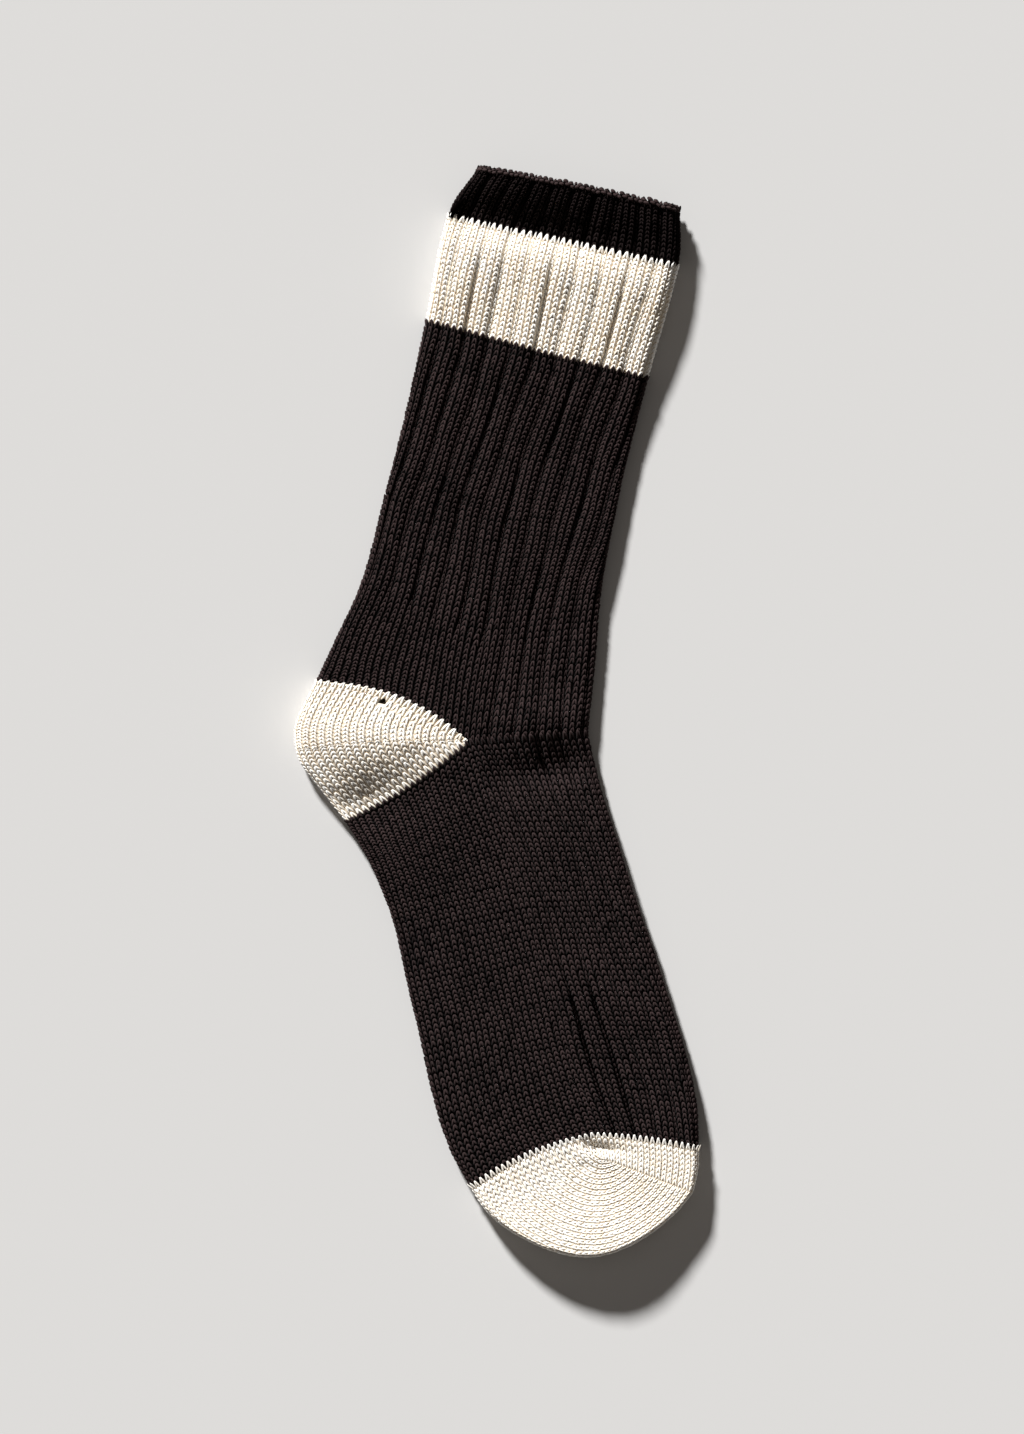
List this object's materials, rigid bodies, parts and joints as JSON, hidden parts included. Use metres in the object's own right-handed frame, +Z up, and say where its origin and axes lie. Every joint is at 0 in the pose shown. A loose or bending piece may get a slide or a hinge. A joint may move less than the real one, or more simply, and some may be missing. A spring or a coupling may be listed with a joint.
{
  "type": "ribbed crew sock",
  "caption": "Chunky ribbed knit crew sock lying flat on its side, dark with a pale stripe, heel and toe, open at the cuff.",
  "frame": {"origin": "centre of the sock's footprint, on the surface it lies on", "axes": "+X towards the instep side, +Y towards the cuff, +Z up from the surface"},
  "size_m": [0.148, 0.3972, 0.0152],
  "materials": {
    "charcoal_yarn": "matte brushed wool-mix yarn, very dark warm brown",
    "cream_yarn": "matte brushed wool-mix yarn, undyed cream"
  },
  "bodies": {
    "root": {"cuff_welt": "charcoal_yarn", "contrast_stripe": "cream_yarn", "leg": "charcoal_yarn", "heel": "cream_yarn", "foot": "charcoal_yarn", "toe": "cream_yarn"}
  },
  "joints": []
}
